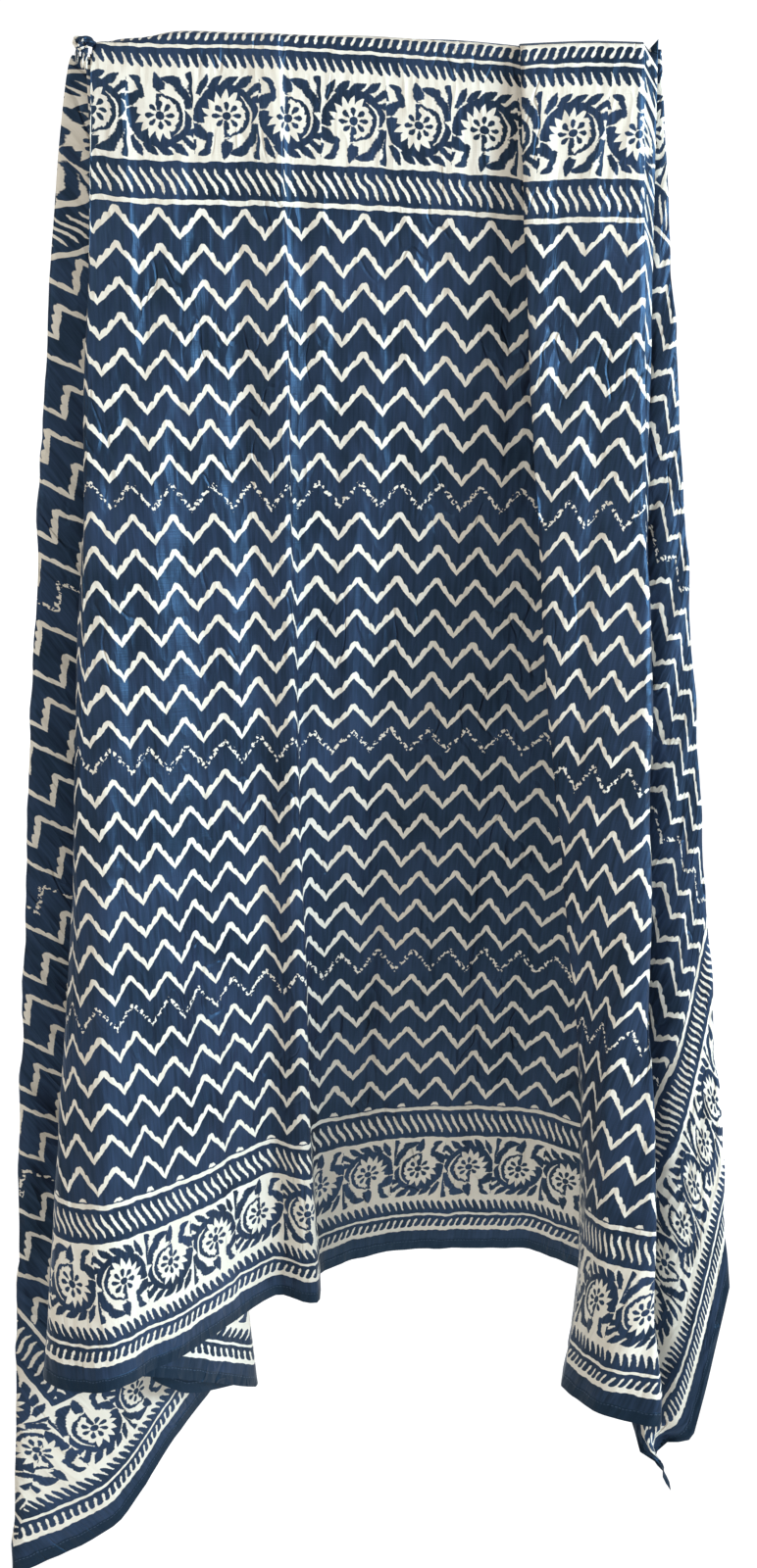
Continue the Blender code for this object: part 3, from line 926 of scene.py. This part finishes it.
@dataclass(frozen=True)
class VinePrint:
    """The border's flower vine, in mm. Each cell holds a flower, and every other cell is turned over."""

    cell: float = 49.6
    middle: float = 93.0
    start: float = 0.43
    petals: int = 8
    spikes: int = 15
    swirl: float = 0.035
    arc_radius: float = 18.4
    vine_inner: float = 19.6
    vine_outer: float = 24.4
    leaf_scale: float = 15.0
    leaf_start: float = 0.02
    leaf_gap: float = 1.0
    flower_radius: float = 13.2
    stem_side: float = 1.2
    stem_half: float = 1.3
    stem_middle: float = 10.0
    stem_reach: float = 6.5

    def cell_place(self, edge: Value, along: Value) -> tuple[Value, Value]:
        """Place in the flower's own cell.

        Args:
            edge: distance from the cloth's edge.
            along: place along the edge.

        Returns:
            Place along and up the cell, from the flower's middle.
        """
        count = along.line(1.0 / self.cell, -self.start)
        x = count.part().line(self.cell, -self.cell / 2.0)
        turned = (count.whole() * 0.5).part().line(-4.0, 1.0)
        y = edge.line(-1.0, self.middle) * turned
        return x, y

    def leaf(self, maker: NodeMaker, place: bpy.types.NodeSocket, leaf: Leaf) -> Value:
        """Distance from one leaf's outline, in lengths of the leaf.

        Args:
            maker: adds the nodes.
            place: place in the cell as a vector.
            leaf: the leaf.

        Returns:
            The distance, below zero in the leaf.
        """
        local = maker.node("ShaderNodeMapping", {"vector_type": "TEXTURE"}, {
            "Vector": place, "Location": (leaf.x, leaf.y, 0.0),
            "Rotation": (0.0, 0.0, math.radians(leaf.angle)), "Scale": (leaf.length, leaf.length, 1.0)})
        parts = maker.node("ShaderNodeSeparateXYZ", {}, {0: local.outputs[0]})
        u, w = (Value(maker, parts.outputs[n]) for n in (0, 1))
        bent = abs((u * u).line(-leaf.bend, w))
        if leaf.headed:
            shape = [(0.0, 0.22), (0.3, 0.22), (0.5, 0.30), (0.68, 0.24), (0.78, 0.38), (0.9, 0.46),
                     (0.97, 0.34), (1.0, -0.1)]
        else:
            shape = [(0.0, 0.24), (0.2, 0.34), (0.45, 0.50), (0.7, 0.36), (0.9, 0.12), (1.0, -0.08)]
        ratio = leaf.width / leaf.length
        half = maker.profile(u, [(at, size * ratio) for at, size in shape])
        return (bent - half).most(-self.leaf_start - u)

    def distance(self, maker: NodeMaker, edge: Value, along: Value) -> Value:
        """Distance from the outline of the vine's dark shapes.

        Args:
            maker: adds the nodes.
            edge: distance from the cloth's edge.
            along: place along the edge.

        Returns:
            The distance, below zero in the dye.
        """
        x, y = self.cell_place(edge, along)
        radius = x.maths("SQRT", x * x + y * y)
        turn = y.maths("ARCTAN2", y, x).line(1.0 / math.tau, 0.0)
        petal_step = math.tau / self.petals
        petal_side = abs(turn.line(self.petals, 0.5).part() - 0.5) * radius * petal_step
        petal_half = maker.profile(radius, [(0.0, 3.0), (2.9, 3.0), (3.3, -0.2), (4.2, 0.3), (6.0, 1.25),
                                            (8.2, 2.0), (9.6, 1.9), (10.6, 1.1), (11.2, -0.5), (14.0, -3.0)])
        petals = petal_side - petal_half
        spike = (turn * self.spikes + radius * self.swirl).part()
        spike_size = maker.profile(turn, [(-0.5, 7.0), (-0.40, 6.0), (-0.2, 7.5), (-0.14, 4.0), (-0.1, 1.4),
                                          (0.2, 1.2), (0.30, 3.0), (0.5, 7.0)])
        flower = (radius - self.flower_radius) - spike * spike_size
        ground = maker.profile(turn, [(-0.5, 24.4), (-0.02, 24.4), (0.04, 19.5), (0.1, 17.6), (0.22, 17.0),
                                      (0.27, 15.5), (0.31, 9.0), (0.34, 5.0), (0.48, 5.0), (0.49, 24.4),
                                      (0.5, 24.4)])
        disc = (radius - ground).most(-flower)
        arc_half = maker.profile(turn, [(-0.5, -1.0), (-0.17, -0.5), (-0.15, 0.3), (-0.08, 0.9), (0.06, 0.95),
                                        (0.14, 1.3), (0.2, 2.6), (0.24, 1.0), (0.27, -1.0), (0.5, -1.0)])
        arc = abs(radius - self.arc_radius) - arc_half
        side = abs(x) - self.cell
        far = x.maths("SQRT", side * side + y * y)
        middle = (self.vine_inner + self.vine_outer) / 2.0
        neighbour = (abs(far - middle) - (self.vine_outer - middle)).most(-self.leaf_gap - y)
        stem = abs(x + self.stem_side) - self.stem_half
        stem = stem.most(abs(y - self.stem_middle) - self.stem_reach)
        place = maker.node("ShaderNodeCombineXYZ", {}, {0: x, 1: y}).outputs[0]
        leaves = None
        for leaf in LEAVES:
            one = self.leaf(maker, place, leaf)
            leaves = one if leaves is None else leaves.least(one)
        leaves = (leaves * self.leaf_scale).most(self.arc_radius - self.leaf_gap - radius)
        dark = disc.most(-arc).least(petals).least(stem)
        return dark.least(neighbour).least(leaves.most(-arc))


@dataclass(frozen=True)
class ZigzagPrint:
    """The zigzag rows of the field, in mm. Every eighth row is the broken join of two printings."""

    first_peak: float = 950.0
    period: float = 32.2
    rise: float = 19.5
    first_row: float = 175.6
    pitch: float = 27.1
    rows: int = 30
    block: int = 8
    before_join: float = 0.80
    after_join: float = 0.93
    half_stroke: float = 2.35
    scallop: float = 2.3
    scallops: int = 6
    join_wear: float = 34.0
    join_level: float = 0.44
    join_grain: float = 330.0
    join_near: float = 0.03

    def row_places(self) -> list[tuple[float, float]]:
        """Place of each row down the cloth, with its number."""
        places, place = [], self.first_row
        for row in range(self.rows):
            places.append((place, float(row)))
            gap = self.after_join if row and row % self.block == 0 else 1.0
            gap = self.before_join if (row + 1) % self.block == 0 else gap
            place += gap * self.pitch
        before = (self.first_row - self.pitch, -1.0)
        return [before, *places, (places[-1][0] + self.pitch, float(self.rows))]

    def distance(self, maker: NodeMaker, place: bpy.types.NodeSocket, along: Value, down: Value) -> Value:
        """Distance from the outline of the cream zigzags.

        Args:
            maker: adds the nodes.
            place: flat place as a vector.
            along: flat place along the cloth.
            down: flat place down the cloth.

        Returns:
            The distance, below zero in cream.
        """
        phase = along.line(1.0 / self.period, -self.first_peak / self.period).part()
        peak = abs(phase - 0.5)
        straight = peak.line(2.0 * self.rise, down - self.rise / 2.0)
        row = maker.profile(straight, self.row_places())
        number = (row + 0.5).whole()
        below = (row - number) * self.pitch
        bump = abs((phase * (math.pi * self.scallops)).wave()) * (self.scallop / 2.0)
        stroke = abs(below + bump) - (bump + self.half_stroke)
        joined = (number * (1.0 / self.block) + self.join_near).part() < 2.0 * self.join_near
        joined = joined * (number > 1.0)
        grain = maker.grain(place, self.join_grain, 1.0)
        wear = grain.line(self.join_wear, -self.join_level * self.join_wear).most(0.0)
        return joined * wear + stroke


@dataclass(frozen=True)
class PrintedCotton:
    """The cloth's finish: indigo dye on fine woven cream cotton. Grains are in bumps to a metre."""

    softness: float = 0.55
    wobble: float = 0.0019
    wobble_scale: float = 95.0
    rough_edge: float = 0.9
    rough_grain: float = 560.0
    cream: tuple[float, float, float, float] = (0.86, 0.80, 0.69, 1.0)
    cream_warm: tuple[float, float, float, float] = (0.82, 0.74, 0.61, 1.0)
    dye: tuple[float, float, float, float] = (0.011, 0.013, 0.023, 1.0)
    dye_light: tuple[float, float, float, float] = (0.042, 0.058, 0.110, 1.0)
    hem_dye: tuple[float, float, float, float] = (0.003, 0.005, 0.010, 1.0)
    sheen_tint: tuple[float, float, float, float] = (0.30, 0.62, 1.0, 1.0)
    cloud_grain: float = 16.0
    cloud_share: float = 0.7
    streak_grain: float = 420.0
    streak_share: float = 0.5
    streak_stretch: float = 0.07
    dye_spread: tuple[float, float] = (1.9, -0.75)
    cream_spread: tuple[float, float] = (1.6, -0.4)
    hem_shares: tuple[float, float] = (0.75, 0.2)
    stitch: tuple[float, float, float, float] = (0.075, 0.095, 0.140, 1.0)
    stitch_edge: float = 9.6
    stitch_length: float = 3.1
    stitch_half: float = 0.32
    stitch_gap: float = 0.28
    stitch_soft: float = 0.25
    stitch_show: float = 0.8
    thread_grain: float = 900.0
    thread_stretch: float = 0.04
    thread_height: float = 0.12
    crumple_grain: float = 52.0
    crumple_stretch: float = 0.30
    crumple_height: float = -4.4
    press_grain: float = 44.0
    press_shift: tuple[float, float, float] = (3.7, 1.9, 0.0)
    press_stretch: float = 0.42
    press_thin: float = 22.0
    press_patch: float = 13.0
    press_spread: tuple[float, float] = (6.0, -3.1)
    press_height: float = 1.0
    hem_soft: float = 0.8
    hem_height: float = 0.3
    relief: float = 1.0
    roughness: tuple[float, float] = (0.24, 0.48)
    gloss: float = 0.9
    sheen: float = 0.05
    sheen_spread: float = 0.4
    border: BorderPrint = BorderPrint()
    vine: VinePrint = VinePrint()
    zigzag: ZigzagPrint = ZigzagPrint()

    def pattern(self, maker: NodeMaker, flat: bpy.types.NodeSocket) -> tuple[Value, Value, Value]:
        """The block print over the whole cloth.

        Args:
            maker: adds the nodes.
            flat: flat place.

        Returns:
            How much is cream, the distance from the edge, and the place along that edge, in mm.
        """
        sway = maker.noise(flat, self.wobble_scale).outputs["Color"]
        sway = maker.vectors("SUBTRACT", sway, (0.5, 0.5, 0.5))
        moved = maker.vectors("ADD", maker.vectors("MULTIPLY", sway, (self.wobble,) * 3), flat)
        parts = maker.node("ShaderNodeSeparateXYZ", {}, {0: moved})
        along, down = (Value(maker, parts.outputs[n]) * MM_PER_METRE for n in (0, 1))
        length, width = CLOTH_LENGTH / MM, CLOTH_WIDTH / MM
        from_right = (along > length / 2.0)
        from_below = (down > width / 2.0)
        side = along.least(length - along)
        end = down.least(width - down)
        edge = side.least(end)
        by_side = (side < end)
        along_end = from_below * (along * -2.0 + length - self.vine.cell) + (along + self.vine.cell)
        along_side = from_right * (down * 2.0 - width) + (width - down)
        run = by_side * (along_side - along_end) + along_end
        bands = self.border.distance(maker, edge, run)
        vine = self.vine.distance(maker, edge, run)
        clear = self.border.clear
        outside = (edge < self.border.vine_from) * clear + (edge > self.border.vine_to) * clear
        border = bands.most(-vine - outside)
        field = self.zigzag.distance(maker, flat, along, down)
        field = field.most(self.border.field_start + self.border.field_margin - edge)
        frayed = maker.grain(flat, self.rough_grain).line(self.rough_edge, -self.rough_edge / 2.0)
        return (border.least(field) + frayed).drawn(self.softness), edge, run

    def colour(self, maker: NodeMaker, flat: bpy.types.NodeSocket, cream: Value, edge: Value,
               run: Value) -> bpy.types.NodeSocket:
        """The colour of the cloth: uneven dye, darker hem, faint stitches and warm cream.

        Args:
            maker: adds the nodes.
            flat: flat place.
            cream: how much is cream.
            edge: distance from the cloth's edge.
            run: place along the edge.

        Returns:
            The colour.
        """
        cloud = maker.grain(flat, self.cloud_grain, 2.0)
        thin = maker.vectors("MULTIPLY", flat, (1.0, self.streak_stretch, 1.0))
        streak = maker.grain(thin, self.streak_grain, 1.0)
        uneven = (cloud * self.cloud_share + streak * self.streak_share).line(*self.dye_spread, clamp=True)
        dye = maker.mixed(uneven, self.dye, self.dye_light)
        hem = (edge < self.border.hem_end) * (edge < self.border.hem_fold).line(*self.hem_shares)
        dye = maker.mixed(hem, dye, self.hem_dye)
        cloth = maker.mixed(cloud.line(*self.cream_spread, clamp=True), self.cream, self.cream_warm)
        dash = abs((run / self.stitch_length).part() - 0.5) - self.stitch_gap
        stitch = (abs(edge - self.stitch_edge) - self.stitch_half).most(dash)
        dye = maker.mixed(stitch.drawn(self.stitch_soft) * self.stitch_show, dye, self.stitch)
        return maker.mixed(cream, dye, cloth)

    def height(self, maker: NodeMaker, flat: bpy.types.NodeSocket, edge: Value) -> Value:
        """The fine relief: threads, crumple, pressed lines and the folded hem.

        Args:
            maker: adds the nodes.
            flat: flat place.
            edge: distance from the cloth's edge.

        Returns:
            The height in mm.
        """
        thread = self.thread_stretch
        warp, weft = (maker.grain(maker.vectors("MULTIPLY", flat, stretch), self.thread_grain, 1.0)
                      for stretch in ((1.0, thread, 1.0), (thread, 1.0, 1.0)))
        crumpled = maker.vectors("MULTIPLY", flat, (1.0, self.crumple_stretch, 1.0))
        crumple = abs(maker.grain(crumpled, self.crumple_grain, 2.0) - 0.5)
        shifted = maker.vectors("ADD", flat, self.press_shift)
        line_place = maker.vectors("MULTIPLY", shifted, (1.0, self.press_stretch, 1.0))
        lines = (abs(maker.grain(line_place, self.press_grain, 1.0) - 0.5) * self.press_thin).least(1.0)
        patches = maker.grain(flat, self.press_patch, 1.0).line(*self.press_spread, clamp=True)
        pressed = patches * (1.0 - lines)
        hem = (edge - self.border.hem_fold).drawn(self.hem_soft)
        threads = warp * self.thread_height + weft * self.thread_height
        return threads + crumple * self.crumple_height - pressed * self.press_height + hem * self.hem_height

    def material(self, name: str = "printed_cotton") -> bpy.types.Material:
        """Makes the material.

        Args:
            name: the material's name.

        Returns:
            The material.
        """
        made = bpy.data.materials.new(name)
        made.use_nodes = True
        maker = NodeMaker(made)
        flat = maker.node("ShaderNodeUVMap", {"uv_map": FLAT_MAP}).outputs[0]
        cream, edge, run = self.pattern(maker, flat)
        colour = self.colour(maker, flat, cream, edge, run)
        relief = {"Height": self.height(maker, flat, edge), "Strength": self.relief, "Distance": MM}
        bump = maker.node("ShaderNodeBump", {}, relief)
        shader = made.node_tree.nodes["Principled BSDF"]
        linked = {"Base Color": colour, "Normal": bump.outputs[0],
                  "Roughness": cream.line(*self.roughness).socket}
        for socket, given in linked.items():
            made.node_tree.links.new(given, shader.inputs[socket])
        fixed = {"Specular Tint": self.sheen_tint, "Specular IOR Level": self.gloss,
                 "Sheen Weight": self.sheen, "Sheen Tint": self.sheen_tint,
                 "Sheen Roughness": self.sheen_spread}
        for socket, given in fixed.items():
            shader.inputs[socket].default_value = given
        log.info("printed cotton: %d nodes", len(made.node_tree.nodes))
        return made


@dataclass(frozen=True)
class Lamp:
    """One soft light: its place, what it points at, its size, its power in watts and its colour."""

    name: str
    place: tuple[float, float, float]
    aim: tuple[float, float, float]
    size: float
    power: float
    colour: tuple[float, float, float]

    def build(self) -> None:
        """Makes the light."""
        light = bpy.data.lights.new(self.name, "AREA")
        light.size = self.size
        light.energy = self.power
        light.color = self.colour
        made = bpy.data.objects.new(self.name, light)
        made.location = self.place
        made.rotation_euler = (Vector(self.aim) - Vector(self.place)).to_track_quat("-Z", "Y").to_euler()
        bpy.context.scene.collection.objects.link(made)


@dataclass
class Studio:
    """A plain pale floor far below the cloth, a plain white backdrop behind it, the light and the camera."""

    floor_z: float = -2.1
    floor_half: float = 30.0
    paint: tuple[float, float, float, float] = (0.92, 0.92, 0.92, 1.0)
    backdrop_y: tuple[float, float] = (0.45, 14.0)
    backdrop_half: float = 30.0
    backdrop_top: float = 20.0
    backdrop_glow: float = 1.05
    backdrop_lift: float = 0.01
    fill: float = 0.52
    fill_colour: tuple[float, float, float, float] = (1.0, 0.98, 0.95, 1.0)
    camera_place: tuple[float, float, float] = (0.0055, -1.291, -0.2209)
    camera_tilt: float = 74.3
    lens: float = 36.0
    sensor: float = 36.0
    contrast: float = 0.86
    lamps: tuple[Lamp, ...] = (
        Lamp("key_light", (2.35, -1.15, 0.10), (0.0, 0.0, -0.6), 0.7, 83.0, (0.72, 0.88, 1.0)),
        Lamp("soft_light", (-1.5, -2.0, 0.7), (-0.1, 0.0, -0.6), 1.8, 17.0, (1.0, 0.97, 0.92)),
    )

    def surface(self, name: str, corners: Sequence[tuple], glow: float) -> None:
        """Makes a flat stage piece of one or more joined rectangles.

        Args:
            name: its name.
            corners: pairs of corners along it, left and right.
            glow: how brightly it is lit from within, so that it stays white.
        """
        places = [corner for pair in corners for corner in pair]
        faces = [(2 * k, 2 * k + 1, 2 * k + 3, 2 * k + 2) for k in range(len(corners) - 1)]
        mesh = bpy.data.meshes.new(name)
        mesh.from_pydata(places, [], faces)
        made = bpy.data.objects.new(name, mesh)
        bpy.context.scene.collection.objects.link(made)
        paint = bpy.data.materials.new(name)
        paint.use_nodes = True
        shader = paint.node_tree.nodes["Principled BSDF"]
        shader.inputs["Base Color"].default_value = BLACK if glow else self.paint
        shader.inputs["Emission Color"].default_value = WHITE
        shader.inputs["Emission Strength"].default_value = glow
        mesh.materials.append(paint)

    def build(self) -> None:
        """Makes the floor, the backdrop, the light and the camera."""
        bpy.context.scene.view_settings.view_transform = "Standard"
        bpy.context.scene.view_settings.gamma = self.contrast
        far, wide = self.floor_half, self.backdrop_half
        floor = [((-far, y, self.floor_z), (far, y, self.floor_z)) for y in (-far, far)]
        self.surface("studio_floor", floor, 0.0)
        low = self.floor_z + self.backdrop_lift
        near, back = self.backdrop_y
        lines = [(near, low), (back, low), (back, self.backdrop_top)]
        self.surface("studio_backdrop", [((-wide, y, z), (wide, y, z)) for y, z in lines], self.backdrop_glow)
        world = bpy.data.worlds.new("studio_world")
        world.use_nodes = True
        world.node_tree.nodes["Background"].inputs["Color"].default_value = self.fill_colour
        world.node_tree.nodes["Background"].inputs["Strength"].default_value = self.fill
        bpy.context.scene.world = world
        for lamp in self.lamps:
            lamp.build()
        camera = bpy.data.cameras.new("camera")
        camera.lens = self.lens
        camera.sensor_width = self.sensor
        eye = bpy.data.objects.new("camera", camera)
        eye.location = self.camera_place
        eye.rotation_euler = (math.radians(self.camera_tilt), 0.0, 0.0)
        bpy.context.scene.collection.objects.link(eye)
        bpy.context.scene.camera = eye


def main() -> None:
    """Builds each piece in order and reports it."""
    logging.basicConfig(level=logging.INFO, format="%(message)s")
    Studio().build()
    sheet = HungCloth().build()
    cotton = PrintedCotton().material()
    knot = Knot().build()
    for piece in (sheet, knot):
        piece.data.materials.append(cotton)
        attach(piece, "root")
    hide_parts("sarong_cloth")


if __name__ == "__main__":
    main()
